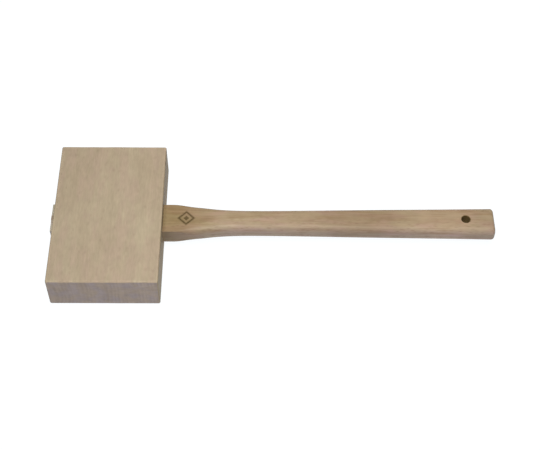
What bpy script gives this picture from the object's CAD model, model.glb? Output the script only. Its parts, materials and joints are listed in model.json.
import json
from math import pi, radians, sin, sqrt

import bmesh
import bpy
from mathutils import Matrix, Vector


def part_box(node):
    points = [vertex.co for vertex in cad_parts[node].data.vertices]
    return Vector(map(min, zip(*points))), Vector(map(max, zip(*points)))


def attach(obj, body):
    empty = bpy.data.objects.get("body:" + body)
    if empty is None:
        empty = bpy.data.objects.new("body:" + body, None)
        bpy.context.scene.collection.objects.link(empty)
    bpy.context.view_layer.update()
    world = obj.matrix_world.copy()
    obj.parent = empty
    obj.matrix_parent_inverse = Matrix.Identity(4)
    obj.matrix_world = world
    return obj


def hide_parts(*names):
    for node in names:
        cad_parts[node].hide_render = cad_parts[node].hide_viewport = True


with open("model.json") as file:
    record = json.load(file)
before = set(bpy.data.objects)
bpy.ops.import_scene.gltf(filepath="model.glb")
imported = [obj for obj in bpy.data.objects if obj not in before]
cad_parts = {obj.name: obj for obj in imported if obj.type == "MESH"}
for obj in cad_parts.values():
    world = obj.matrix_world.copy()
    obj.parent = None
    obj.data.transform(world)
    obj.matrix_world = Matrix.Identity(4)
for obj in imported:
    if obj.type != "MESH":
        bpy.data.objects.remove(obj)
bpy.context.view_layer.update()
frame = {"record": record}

# ---------------------------------------------------------------------------------------------
# The camera stands over the near side of the mallet, level with the middle of the handle, and
# looks steeply down on it through a short telephoto lens.
# ---------------------------------------------------------------------------------------------
mm = 0.001
camera_place = Vector((137.7, -635.25, 884.7)) * mm
camera_turn = radians(0.72)
camera_dip = radians(53.86)
camera_roll = radians(0.78)
camera_lens = bpy.data.cameras.new("studio_camera")
camera_lens.sensor_width = 36
camera_lens.lens = 78.63
camera_lens.clip_start = 0.05
camera_lens.clip_end = 50
camera = bpy.data.objects.new("studio_camera", camera_lens)
camera.matrix_world = (
    Matrix.Translation(camera_place)
    @ Matrix.Rotation(-camera_turn, 4, "Z")
    @ Matrix.Rotation(pi / 2 - camera_dip, 4, "X")
    @ Matrix.Rotation(camera_roll, 4, "Z")
)
bpy.context.scene.collection.objects.link(camera)
bpy.context.scene.camera = camera

# ---------------------------------------------------------------------------------------------
# The head is one block of steamed beech, sawn so that its growth rings stand nearly upright in
# the striking faces. It is planed on four sides, cross-cut and sanded, mortised right through
# along the handle, and its arrises are eased by hand, so they are not quite even.
# ---------------------------------------------------------------------------------------------
head_low, head_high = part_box("head")
head_size = head_high - head_low
head_centre = (head_low + head_high) / 2
handle_low, handle_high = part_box("handle")
arris_radius = 0.8 * mm
corner_radius = 1.5 * mm
arris_segments = 4
arris_wear = 0.3 * mm
worn_in_from_edge = 0.85 * arris_radius
wear_spacing = 14 * mm
mouth_chamfer = 0.2 * mm
glue_gap = 0.1 * mm


def start_block(name, low, high):
    """A cuboid between two corners, left in edit mode with everything selected."""
    bpy.ops.object.select_all(action="DESELECT")
    bpy.ops.mesh.primitive_cube_add(size=1, location=(low + high) / 2)
    block = bpy.context.object
    block.name = name
    block.scale = high - low
    bpy.ops.object.transform_apply(location=True, rotation=True, scale=True)
    bpy.ops.object.mode_set(mode="EDIT")
    bpy.ops.mesh.select_all(action="SELECT")
    return block


def start_cylinder(sides, radius, depth, place):
    """An upright cylinder or prism about a place, left in edit mode with everything selected."""
    bpy.ops.object.select_all(action="DESELECT")
    bpy.ops.mesh.primitive_cylinder_add(vertices=sides, radius=radius, depth=depth, location=place)
    bpy.ops.object.transform_apply(location=True, rotation=True, scale=True)
    bpy.ops.object.mode_set(mode="EDIT")
    bpy.ops.mesh.select_all(action="SELECT")
    return bpy.context.object


def slice_across(axis, places):
    """Cuts the whole mesh in edit mode at each place along an axis, and keeps both sides."""
    for place in places:
        bpy.ops.mesh.select_all(action="SELECT")
        bpy.ops.mesh.bisect(plane_co=axis * place, plane_no=axis)


def choose(piece, kind, wanted):
    """Selects, in edit mode, only the verts, edges or faces that pass a test."""
    modes = {"verts": "VERT", "edges": "EDGE", "faces": "FACE"}
    bpy.ops.mesh.select_mode(type=modes[kind])
    bpy.ops.mesh.select_all(action="DESELECT")
    mesh = bmesh.from_edit_mesh(piece.data)
    for part in getattr(mesh, kind):
        part.select_set(wanted(part))
    bmesh.update_edit_mesh(piece.data)


def runs_along(edge, axis):
    """Whether a straight edge runs along an axis."""
    run = edge.verts[1].co - edge.verts[0].co
    return abs(run.dot(axis)) > 0.99 * run.length


def resize_end(piece, axis, sign, centre, factors):
    """Resizes the end face that looks along an axis about a centre."""
    choose(piece, "faces", lambda face: face.normal.dot(axis) * sign > 0.99)
    bpy.ops.transform.resize(value=factors, center_override=centre)


def pick(piece):
    """Leaves edit mode with only this piece selected."""
    bpy.ops.object.mode_set(mode="OBJECT")
    bpy.ops.object.select_all(action="DESELECT")
    bpy.context.view_layer.objects.active = piece
    piece.select_set(True)


def cut_away(piece, cutter):
    """Subtracts the cutter from the piece and throws the cutter away."""
    pick(piece)
    bpy.ops.object.modifier_add(type="BOOLEAN")
    cut = piece.modifiers[-1]
    cut.operation = "DIFFERENCE"
    cut.solver = "EXACT"
    cut.object = cutter
    bpy.ops.object.modifier_apply(modifier=cut.name)
    bpy.data.objects.remove(cutter)


def finish_shape(piece):
    """Shades the rounded parts smooth and keeps the sharp edges sharp."""
    pick(piece)
    bpy.ops.object.shade_smooth_by_angle(angle=radians(35))


along_x = Vector((1, 0, 0))
along_y = Vector((0, 1, 0))
along_z = Vector((0, 0, 1))

head = start_block("beech_head", head_low, head_high)
choose(head, "edges", lambda edge: runs_along(edge, along_z))
bpy.ops.mesh.bevel(offset=corner_radius, segments=arris_segments, affect="EDGES")
bpy.ops.mesh.select_all(action="DESELECT")
bpy.ops.mesh.edges_select_sharp(sharpness=radians(60))
bpy.ops.mesh.bevel(offset=arris_radius, segments=arris_segments, affect="EDGES")

# The faces are sliced about every 5 mm, so that the wear can come and go along the arrises.
for axis, low, high, slices in (
    (along_x, head_low.x, head_high.x, 20),
    (along_y, head_low.y, head_high.y, 30),
    (along_z, head_low.z, head_high.z, 8),
):
    slice_across(axis, [low + (high - low) * (n + 0.5) / slices for n in range(slices)])
bpy.ops.object.mode_set(mode="OBJECT")
arris = head.vertex_groups.new(name="arris")
half_head = head_size / 2
for vertex in head.data.vertices:
    inset = sorted(half_head[axis] - abs(vertex.co[axis] - head_centre[axis]) for axis in range(3))
    if inset[1] < worn_in_from_edge:
        arris.add([vertex.index], 1.0, "REPLACE")
uneven = bpy.data.textures.new("uneven sanding", "CLOUDS")
uneven.noise_scale = wear_spacing
uneven.noise_depth = 1
bpy.ops.object.modifier_add(type="DISPLACE")
wear = head.modifiers[-1]
wear.texture = uneven
wear.vertex_group = "arris"
wear.strength = arris_wear
wear.mid_level = 1.0
bpy.ops.object.modifier_apply(modifier=wear.name)

cutter_clear = 1 * mm
flare = cutter_clear + mouth_chamfer
mortise_low = Vector((head_low.x - cutter_clear, handle_low.y, handle_low.z - glue_gap))
mortise_high = Vector((head_high.x + cutter_clear, handle_high.y, handle_high.z + glue_gap))
mortise = start_block("mortise", mortise_low, mortise_high)
slice_across(along_x, (head_low.x + mouth_chamfer, head_high.x - mouth_chamfer))
mortise_size = mortise_high - mortise_low
mouth = (1, 1 + 2 * flare / mortise_size.y, 1 + 2 * flare / mortise_size.z)
for sign in (-1, 1):
    resize_end(mortise, along_x, sign, (mortise_low + mortise_high) / 2, mouth)
cut_away(head, mortise)
finish_shape(head)


class Shade:
    """A value, colour or vector in a material: arithmetic on it adds the nodes that work it out."""

    def __init__(self, tree, socket):
        self.tree = tree
        self.socket = socket

    def node(self, kind, settings, inputs, output=0):
        made = self.tree.nodes.new("ShaderNode" + kind)
        for name, value in settings.items():
            setattr(made, name, value)
        for key, value in inputs.items():
            if isinstance(value, Shade):
                self.tree.links.new(value.socket, made.inputs[key])
            else:
                made.inputs[key].default_value = value
        return Shade(self.tree, made.outputs[output] if made.outputs else None)

    def output(self, name):
        return Shade(self.tree, self.socket.node.outputs[name])

    def math(self, operation, *values):
        return self.node("Math", {"operation": operation}, dict(enumerate(values)))

    def __add__(self, other):
        return self.math("ADD", self, other)

    def __sub__(self, other):
        return self.math("SUBTRACT", self, other)

    def __rsub__(self, other):
        return self.math("SUBTRACT", other, self)

    def __mul__(self, other):
        return self.math("MULTIPLY", self, other)

    def __truediv__(self, other):
        return self.math("DIVIDE", self, other)

    def __abs__(self):
        return self.math("ABSOLUTE", self)

    __radd__ = __add__
    __rmul__ = __mul__

    def rise(self, low, high):
        """0 below low, 1 above high, and a smooth rise between them."""
        ends = {"Value": self, "From Min": low, "From Max": high}
        return self.node("MapRange", {"interpolation_type": "SMOOTHSTEP"}, ends)

    def parts(self):
        split = self.node("SeparateXYZ", {}, {0: self})
        return split.output("X"), split.output("Y"), split.output("Z")

    def cloud(self, x, y, z, detail=2.0):
        """Soft noise about 0.5, with a feature to each unit of the coordinates."""
        place = self.node("CombineXYZ", {}, {0: x, 1: y, 2: z})
        return self.node("TexNoise", {}, {"Vector": place, "Scale": 1.0, "Detail": detail})

    def mix(self, amount, first, second):
        """first where amount is 0 and second where it is 1, both colours."""
        ends = {0: amount, 6: first, 7: second}
        return self.node("Mix", {"data_type": "RGBA"}, ends, output=2)

    def brighten(self, amount):
        return self.node("VectorMath", {"operation": "SCALE"}, {0: self, 3: amount})

    def tint(self, amount, stain):
        """This colour multiplied by a stain, as far as amount says."""
        ends = {0: amount, 6: self, 7: stain}
        return self.node("Mix", {"data_type": "RGBA", "blend_type": "MULTIPLY"}, ends, output=2)


def sawn_wood(name, lengthways, pith, ring, ring_show, ray_show, streak, tones, end_tones, finish):
    """Solid wood. The rings are cylinders round the pith and the rays are thin sheets that stand on
    it, so each face shows what its own cut through the tree shows.

    lengthways is the axis that the grain follows, pith is where the tree's centre lies across it,
    ring is a year's growth and streak is the length of a streak, all in metres. ring_show and
    ray_show say how strongly the rings and rays are marked. tones are the plain, pale, blushed,
    latewood and ray colours and the stain of the sawn edges, and end_tones are the end grain's
    plain, latewood and dry colours. finish is the roughness that the sanding leaves.
    Returns the material, then its colour, roughness, relief and place for a finish to work on.
    """
    material = bpy.data.materials.new(name)
    material.use_nodes = True
    tree = material.node_tree
    tree.nodes.clear()
    place = Shade(tree, tree.nodes.new("ShaderNodeTexCoord").outputs["Object"])
    x, y, z = place.parts()
    normal = place.output("Normal").parts()
    along, across = (x, y) if lengthways == "X" else (y, x)
    end_facing = abs(normal[0] if lengthways == "X" else normal[1])
    edge_facing = abs(normal[1] if lengthways == "X" else normal[0])
    plain, pale, blush, late, ray, edge_stain = tones
    end_plain, end_late, end_dry = end_tones

    # Rings: a year's growth darkens slowly and stops short, and no two years are alike.
    drift = place.cloud(across * 16, along * 5.5, z * 16)
    ripple = place.cloud(across * 80, along * 21, z * 80)
    out_across = across - pith[0]
    out_up = z - pith[1]
    radius = place.math("SQRT", out_across * out_across + out_up * out_up)
    radius = radius + (drift - 0.5) * 9 * mm + (ripple - 0.5) * 1.6 * mm
    years = radius / ring + place.cloud(radius * 55, 0.0, 0.0) * 2.2
    year = place.math("FLOOR", years)
    season = years - year
    latewood = season.rise(0.15, 0.75) * (1 - season.rise(0.82, 1.0))
    year_tone = place.node("TexWhiteNoise", {"noise_dimensions": "1D"}, {"W": year}) - 0.5
    fading = place.cloud(across * 70, along * 38, z * 70, 3.0).rise(0.38, 0.66)

    # Rays: lens-shaped sheets, long from pith to bark, a few millimetres tall and very thin.
    ray_reach = sqrt(pith[0] ** 2 + pith[1] ** 2)
    round_tree = place.math("ARCTAN2", out_up, out_across) * ray_reach
    ray_place = place.node(
        "CombineXYZ", {}, {0: radius / (6 * mm), 1: round_tree / (0.9 * mm), 2: along / (6 * mm)}
    )
    ray_cell = place.node("TexVoronoi", {}, {"Vector": ray_place, "Scale": 1.0})
    ray_chance = ray_cell.output("Color").parts()[0]
    rays = (1 - ray_cell.rise(0.05, 0.5)) * ray_chance.rise(0.3, 0.95)
    silver = place.cloud(radius * 150, round_tree * 420, along * 120, 3.0).rise(0.5, 0.72)

    # Fibres: fine streaks along the grain, and slow patches of colour.
    streaks = place.cloud(across * 800, along / streak, z * 800, 3.0)
    lines = place.cloud(across * 520, along / (streak * 1.2), z * 520, 3.0).rise(0.5, 0.6)
    fibres = place.cloud(across * 2600, along * 130, z * 2600)
    clouding = place.cloud(across * 28, along * 13, z * 28)
    blushing = place.cloud(across * 130 + 7.0, along * 38, z * 130, 4.0)
    mottle = place.cloud(across * 210, along * 110, z * 210, 4.0)

    wood = place.mix(clouding.rise(0.32, 0.68), plain, pale)
    wood = place.mix(blushing.rise(0.4, 0.66) * 0.8, wood, blush)
    wood = place.mix(latewood * (0.2 + 0.8 * fading) * ring_show, wood, late)
    wood = place.mix(lines * (0.4 + 0.6 * fading) * ring_show, wood, late)
    wood = place.mix(silver * 0.45 * ray_show, wood, pale)
    wood = place.mix(rays * ray_show, wood, ray)
    tone = 1 + year_tone * 0.05 + (streaks - 0.5) * 0.24 + (fibres - 0.5) * 0.14 + (mottle - 0.5) * 0.22
    wood = wood.brighten(tone).tint(edge_facing.rise(0.35, 0.95), edge_stain)

    # End grain: the same rings and rays cut square across, with open pores that drink the light.
    end_rays = place.cloud(radius * 75, round_tree * 900, along * 60)
    pores = place.cloud(across * 2600, along * 2600, z * 2600)
    dryness = place.cloud(across * 90, along * 90, z * 90, 3.0).rise(0.38, 0.66)
    cut = place.mix(dryness, end_plain, end_dry)
    cut = place.mix(latewood * (0.05 + 0.95 * fading) * 0.5, cut, end_late)
    end_tone = 1 + year_tone * 0.08 + (end_rays - 0.5) * 0.3 + (pores - 0.5) * 0.26
    end_tone = end_tone + (mottle - 0.5) * 0.34
    cut = cut.brighten(end_tone + (clouding - 0.5) * 0.12)

    colour = place.mix(end_facing.rise(0.7, 0.95), wood, cut)
    roughness = finish + latewood * 0.05 - rays * 0.08 + (fibres - 0.5) * 0.12
    relief = fibres * 0.5 + streaks * 0.35 - rays * 0.25
    return material, colour, roughness, relief, place


def finish_wood(piece, material, colour, roughness, relief, depth, shine):
    """Joins a wood's colour, roughness and relief to its surface, and puts it on the piece.

    depth is how deep the relief goes, in metres, and shine is how strongly the surface reflects.
    """
    bump = relief.node("Bump", {}, {"Strength": 0.6, "Distance": depth, "Height": relief})
    surface = {"Base Color": colour, "Roughness": roughness, "Normal": bump}
    surface["Specular IOR Level"] = shine
    wood = relief.node("BsdfPrincipled", {}, surface)
    relief.node("OutputMaterial", {}, {"Surface": wood})
    piece.data.materials.clear()
    piece.data.materials.append(material)


head_wood, head_colour, head_roughness, head_relief, place = sawn_wood(
    "sanded beech of the head",
    lengthways="Y",
    pith=(-110 * mm, 13 * mm),
    ring=3.5 * mm,
    ring_show=0.1,
    ray_show=0.28,
    streak=7 * mm,
    tones=(
        (0.372, 0.298, 0.203, 1),
        (0.415, 0.345, 0.236, 1),
        (0.398, 0.305, 0.222, 1),
        (0.315, 0.242, 0.165, 1),
        (0.275, 0.206, 0.14, 1),
        (0.65, 0.61, 0.515, 1),
    ),
    end_tones=((0.36, 0.282, 0.227, 1), (0.275, 0.218, 0.192, 1), (0.332, 0.272, 0.264, 1)),
    finish=0.62,
)

# The block is a little paler toward the bark, and its handled edges have rubbed paler too.
x, y, z = place.parts()
from_edge = place.math("MINIMUM", half_head.x - abs(x), half_head.y - abs(y))
rubbed = 1 - from_edge.rise(0.5 * mm, 2.8 * mm)
head_colour = head_colour.brighten(1 + x * 0.8 + rubbed * place.output("Normal").parts()[2] * 0.09)
finish_wood(head, head_wood, head_colour, head_roughness, head_relief, depth=0.08 * mm, shine=0.4)
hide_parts("head")
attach(head, "root")

# ---------------------------------------------------------------------------------------------
# The handle is one length of flat-sawn beech: a square tenon and cheek, then a grip that is sawn
# to a waisted outline, rounded over on both sides and sanded. A hanging hole is drilled near the
# tail, a kerf is sawn in the tenon's end, and a plain lozenge is burnt into the top of the cheek.
# ---------------------------------------------------------------------------------------------
stub_chamfer = 0.4 * mm
grip_radius = 6 * mm
tail_radius = 3 * mm
cheek_arris = 0.4 * mm
corner_segments = 8
hair = 0.01 * mm
grip_start = head_high.x + 27.7 * mm
rounding_start = head_high.x + 9 * mm
rounding_end = head_high.x + 31.3 * mm
runout = rounding_end - rounding_start
tail_end = handle_high.x
handle_middle = (handle_low + handle_high) / 2
half_thickness = (handle_high.z - handle_low.z) / 2
side_points = (
    (grip_start - 2.5 * mm, handle_high.y, 0),
    (grip_start + 16 * mm, 13.3 * mm, -0.125),
    (grip_start + 52 * mm, 11.35 * mm, 0),
    (grip_start + 139 * mm, 12.5 * mm, 0.0172),
    (tail_end, 14.55 * mm, 0.02),
)


def side_at(x):
    """Half the handle's width at x: a smooth curve through the side's points and slopes."""
    if x <= side_points[0][0]:
        return handle_high.y
    pairs = zip(side_points, side_points[1:])
    (x0, y0, slope0), (x1, y1, slope1) = next(pair for pair in pairs if x <= pair[1][0] + 1e-9)
    run = x1 - x0
    t = (x - x0) / run
    ease = t * t * (3 - 2 * t)
    bend = run * (slope0 * t * (1 - t) ** 2 - slope1 * t * t * (1 - t))
    return y0 + (y1 - y0) * ease + bend


def tail_inset(x):
    """How far the tail's eased end has drawn in at x: a quarter circle."""
    past = x - (tail_end - tail_radius)
    if past <= 0:
        return 0
    return tail_radius - sqrt(max(tail_radius**2 - past**2, 0))


def rounding_at(x):
    """The rounding-over's radius at x: none on the cheek, then a soft run-out, then all of it."""
    t = min(max((x - rounding_start) / runout, 0), 1)
    return cheek_arris + (grip_radius - cheek_arris) * t * t * (3 - 2 * t) - tail_inset(x)


def in_corner(co, station, side, level):
    """Whether a vertex is in one corner of the handle's furthest end, which is at the station."""
    return co.x > station - hair and co.y * side > 0 and (co.z - handle_middle.z) * level > 0


# The handle is drawn out from its stub one station at a time, and at each station its end is set to
# that station's width, thickness and corner rounding.
runout_steps, grip_steps, tail_steps = 20, 72, 6
grip_length = tail_end - tail_radius - rounding_end
stations = [head_low.x, head_high.x, rounding_start]
stations += [rounding_start + runout * n / runout_steps for n in range(1, runout_steps + 1)]
stations += [rounding_end + grip_length * n / grip_steps for n in range(1, grip_steps + 1)]
quarter = [sin(pi / 2 * n / tail_steps) for n in range(1, tail_steps + 1)]
stations += [tail_end - tail_radius * (1 - reach) for reach in quarter]

stub_high = Vector((handle_low.x + stub_chamfer, handle_high.y, handle_high.z))
handle = start_block("beech_handle", handle_low, stub_high)
choose(handle, "edges", lambda edge: runs_along(edge, along_x))
bpy.ops.mesh.bevel(offset=cheek_arris, segments=corner_segments, affect="EDGES")
stub_shrink = (1, 1 - stub_chamfer / handle_high.y, 1 - stub_chamfer / half_thickness)
resize_end(handle, along_x, -1, handle_middle, stub_shrink)
rounding, width, height, x = cheek_arris, handle_high.y, half_thickness, stub_high.x
for station in stations:
    choose(handle, "faces", lambda face: face.calc_center_median().x > x - hair)
    bpy.ops.mesh.extrude_region_move(TRANSFORM_OT_translate={"value": (station - x, 0, 0)})
    next_rounding = rounding_at(station)
    next_width = side_at(station) - tail_inset(station)
    next_height = half_thickness - tail_inset(station)
    growth = next_rounding / rounding
    step_out = (next_width - next_rounding) - (width - rounding)
    step_up = (next_height - next_rounding) - (height - rounding)
    for side, level in ((-1, -1), (-1, 1), (1, -1), (1, 1)):
        arc_y = side * (width - rounding)
        arc_z = handle_middle.z + level * (height - rounding)
        choose(handle, "verts", lambda vertex: in_corner(vertex.co, station, side, level))
        bpy.ops.transform.resize(value=(1, growth, growth), center_override=(station, arc_y, arc_z))
        bpy.ops.transform.translate(value=(0, side * step_out, level * step_up))
    rounding, width, height, x = next_rounding, next_width, next_height, station
bpy.ops.object.mode_set(mode="OBJECT")

kerf_mouth, kerf_root, kerf_depth = 5 * mm, 2 * mm, 64 * mm
kerf_low = Vector((handle_low.x - cutter_clear, -kerf_mouth / 2, handle_low.z - cutter_clear))
kerf_high = Vector((handle_low.x + kerf_depth, kerf_mouth / 2, handle_high.z + cutter_clear))
kerf = start_block("kerf", kerf_low, kerf_high)
resize_end(kerf, along_x, 1, kerf_high, (1, kerf_root / kerf_mouth, 1))
cut_away(handle, kerf)

hang_hole = next(mount for mount in frame["record"]["mounts"] if mount["name"] == "hang_hole")
hole_place = Vector(hang_hole["pos_m"])
hole_radius = hang_hole["dims"]["r_mm"] * mm
hole_chamfer = 0.5 * mm
drill = start_cylinder(64, hole_radius, 2 * (half_thickness + cutter_clear), hole_place)
slice_across(along_z, (handle_low.z + hole_chamfer, handle_high.z - hole_chamfer))
hole_mouth = 1 + (hole_chamfer + cutter_clear) / hole_radius
for sign in (-1, 1):
    resize_end(drill, along_z, sign, hole_place, (hole_mouth, hole_mouth, 1))
cut_away(handle, drill)

mark_place = Vector((head_high.x + 21 * mm, 0, handle_high.z))
mark_reach = 7.5 * mm
mark_line = 1 * mm
mark_centre = 2.5 * mm
mark_depth = 0.3 * mm
iron_place = mark_place + along_z * (mark_reach - mark_depth)
for reach in (mark_reach, mark_centre):
    iron = start_cylinder(4, reach, 2 * mark_reach, iron_place)
    if reach == mark_reach:
        choose(iron, "faces", lambda face: abs(face.normal.z) > 0.99)
        bpy.ops.mesh.inset(thickness=mark_line)
        bpy.ops.mesh.bridge_edge_loops()
    cut_away(handle, iron)
finish_shape(handle)

handle_wood, handle_colour, handle_roughness, handle_relief, place = sawn_wood(
    "sanded beech of the handle",
    lengthways="X",
    pith=(24 * mm, -58 * mm),
    ring=3.4 * mm,
    ring_show=0.56,
    ray_show=0.55,
    streak=34 * mm,
    tones=(
        (0.36, 0.267, 0.163, 1),
        (0.402, 0.308, 0.192, 1),
        (0.402, 0.272, 0.196, 1),
        (0.272, 0.18, 0.09, 1),
        (0.22, 0.13, 0.07, 1),
        (0.95, 0.955, 1.15, 1),
    ),
    end_tones=((0.29, 0.225, 0.175, 1), (0.23, 0.17, 0.13, 1), (0.28, 0.235, 0.2, 1)),
    finish=0.52,
)
x, y, z = place.parts()

# The board is darker and more golden by the head, darker again in the middle of the grip and at the
# tail, palest before the hanging hole, and greyed on the stub. A smear of glue has paled it at the
# joint.
drifting = place.cloud(x * 30, y * 60, z * 60) * 30 * mm
by_head = 1 - (x + drifting).rise(72 * mm, 124 * mm)
mid_grip = (x + drifting).rise(198 * mm, 222 * mm) * (1 - (x + drifting).rise(262 * mm, 292 * mm))
near_hole = (x + drifting).rise(292 * mm, 310 * mm) * (1 - (x + drifting).rise(334 * mm, 350 * mm))
handle_colour = handle_colour.tint(by_head, (0.74, 0.71, 0.54, 1))
handle_colour = handle_colour.tint(mid_grip * 0.8, (0.86, 0.84, 0.8, 1))
handle_colour = handle_colour.tint(near_hole, (1.08, 1.055, 1.075, 1))
handle_colour = handle_colour.tint(x.rise(328 * mm, 345 * mm), (0.93, 0.92, 0.92, 1))
long_faces = 1 - abs(place.output("Normal").parts()[0])
stub_sides = (1 - x.rise(-50 * mm, -46 * mm)) * long_faces
handle_colour = handle_colour.tint(stub_sides, (1.4, 1.8, 3.0, 1))
beside_head = (1 - (x - head_high.x).rise(0.5 * mm, 2.5 * mm)) * long_faces
handle_colour = handle_colour.brighten(1 + beside_head * 0.22)

# The mark is scorched brown, darkest where the iron's lines pressed in. The drilled hole is dark
# inside and a little singed round its mouth.
lozenge = abs(x - mark_place.x) + abs(y - mark_place.y)
in_line = 1 - abs(lozenge - (mark_reach - 0.7 * mark_line)).rise(0.9 * mm, 2.6 * mm)
in_centre = 1 - (lozenge - mark_centre).rise(-0.6 * mm, 1.2 * mm)
near_top = (z - mark_place.z).rise(-1 * mm, -0.6 * mm)
scorched = place.math("MAXIMUM", in_line, in_centre) * near_top
pressed = 1 - (z - mark_place.z).rise(-0.22 * mm, -0.02 * mm)
charring = place.cloud(x * 700, y * 700, z * 700, 3.0)
burnt = scorched * (0.5 + 0.5 * pressed) * (0.45 + 0.95 * charring)
round_hole = place.node("CombineXYZ", {}, {0: x - hole_place.x, 1: y})
from_hole = place.node("VectorMath", {"operation": "LENGTH"}, {0: round_hole}, output="Value")
drilled = 1 - from_hole.rise(hole_radius + 0.05 * mm, hole_radius + 0.6 * mm)
handle_colour = place.mix(burnt, handle_colour, (0.085, 0.052, 0.01, 1))
handle_colour = place.mix(drilled, handle_colour, (0.185, 0.118, 0.037, 1))
handle_roughness = handle_roughness + drilled * 0.45
finish_wood(
    handle, handle_wood, handle_colour, handle_roughness, handle_relief, depth=0.06 * mm, shine=0.5
)
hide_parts("handle")
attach(handle, "root")

# ---------------------------------------------------------------------------------------------
# The wedge is a sliver of the same beech, driven into the kerf from the top of the head, sawn off
# and sanded nearly level with the tenon's end.
# ---------------------------------------------------------------------------------------------
wedge_low, wedge_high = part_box("wedge")
wedge_ease = 0.15 * mm
wedge = start_block("beech_wedge", wedge_low, wedge_high)
tip = 1 - (1 - kerf_root / kerf_mouth) * (wedge_high.x - handle_low.x) / kerf_depth
resize_end(wedge, along_x, 1, (wedge_high.x, 0, handle_middle.z), (1, tip, 1))
choose(wedge, "faces", lambda face: face.normal.x < -0.99)
bpy.ops.mesh.bevel(offset=wedge_ease, segments=3, affect="EDGES")
finish_shape(wedge)
wedge_wood, wedge_colour, wedge_roughness, wedge_relief, _ = sawn_wood(
    "sawn beech of the wedge",
    lengthways="X",
    pith=(90 * mm, -40 * mm),
    ring=1.8 * mm,
    ring_show=0.5,
    ray_show=0.5,
    streak=20 * mm,
    tones=(
        (0.33, 0.255, 0.185, 1),
        (0.36, 0.28, 0.205, 1),
        (0.345, 0.26, 0.195, 1),
        (0.27, 0.2, 0.14, 1),
        (0.22, 0.15, 0.1, 1),
        (0.95, 0.96, 1.0, 1),
    ),
    end_tones=((0.27, 0.215, 0.17, 1), (0.215, 0.165, 0.13, 1), (0.265, 0.225, 0.195, 1)),
    finish=0.6,
)
finish_wood(
    wedge, wedge_wood, wedge_colour, wedge_roughness, wedge_relief, depth=0.06 * mm, shine=0.4
)
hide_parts("wedge")
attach(wedge, "root")

# ---------------------------------------------------------------------------------------------
# The mallet lies on a sheet of white acrylic that is lit from below as well, under one wide soft
# light, in a pale room.
# ---------------------------------------------------------------------------------------------
bpy.ops.object.select_all(action="DESELECT")
bpy.ops.mesh.primitive_plane_add(size=24, location=(0, 0, 0))
floor = bpy.context.object
floor.name = "studio_floor"
acrylic = bpy.data.materials.new("white acrylic sheet")
acrylic.use_nodes = True
acrylic_surface = acrylic.node_tree.nodes["Principled BSDF"].inputs
acrylic_surface["Base Color"].default_value = (0.08, 0.08, 0.08, 1)
acrylic_surface["Roughness"].default_value = 0.9
acrylic_surface["Specular IOR Level"].default_value = 0.0
acrylic_surface["Emission Color"].default_value = (0.95, 0.975, 1, 1)
acrylic_surface["Emission Strength"].default_value = 1.0
floor.data.materials.append(acrylic)

soft_box = bpy.data.lights.new("overhead_soft_box", "AREA")
soft_box.shape = "RECTANGLE"
soft_box.size = 1.1
soft_box.size_y = 0.9
soft_box.energy = 22
soft_box.color = (1.0, 0.975, 0.94)
soft_box_stand = bpy.data.objects.new("overhead_soft_box", soft_box)
soft_box_stand.location = (0.08, -0.22, 1.3)
bpy.context.scene.collection.objects.link(soft_box_stand)

room = bpy.data.worlds.new("pale_room")
room.use_nodes = True
room.node_tree.nodes["Background"].inputs["Color"].default_value = (0.85, 0.93, 1.0, 1)
room.node_tree.nodes["Background"].inputs["Strength"].default_value = 0.08
bpy.context.scene.world = room
bpy.context.scene.view_settings.view_transform = "Standard"
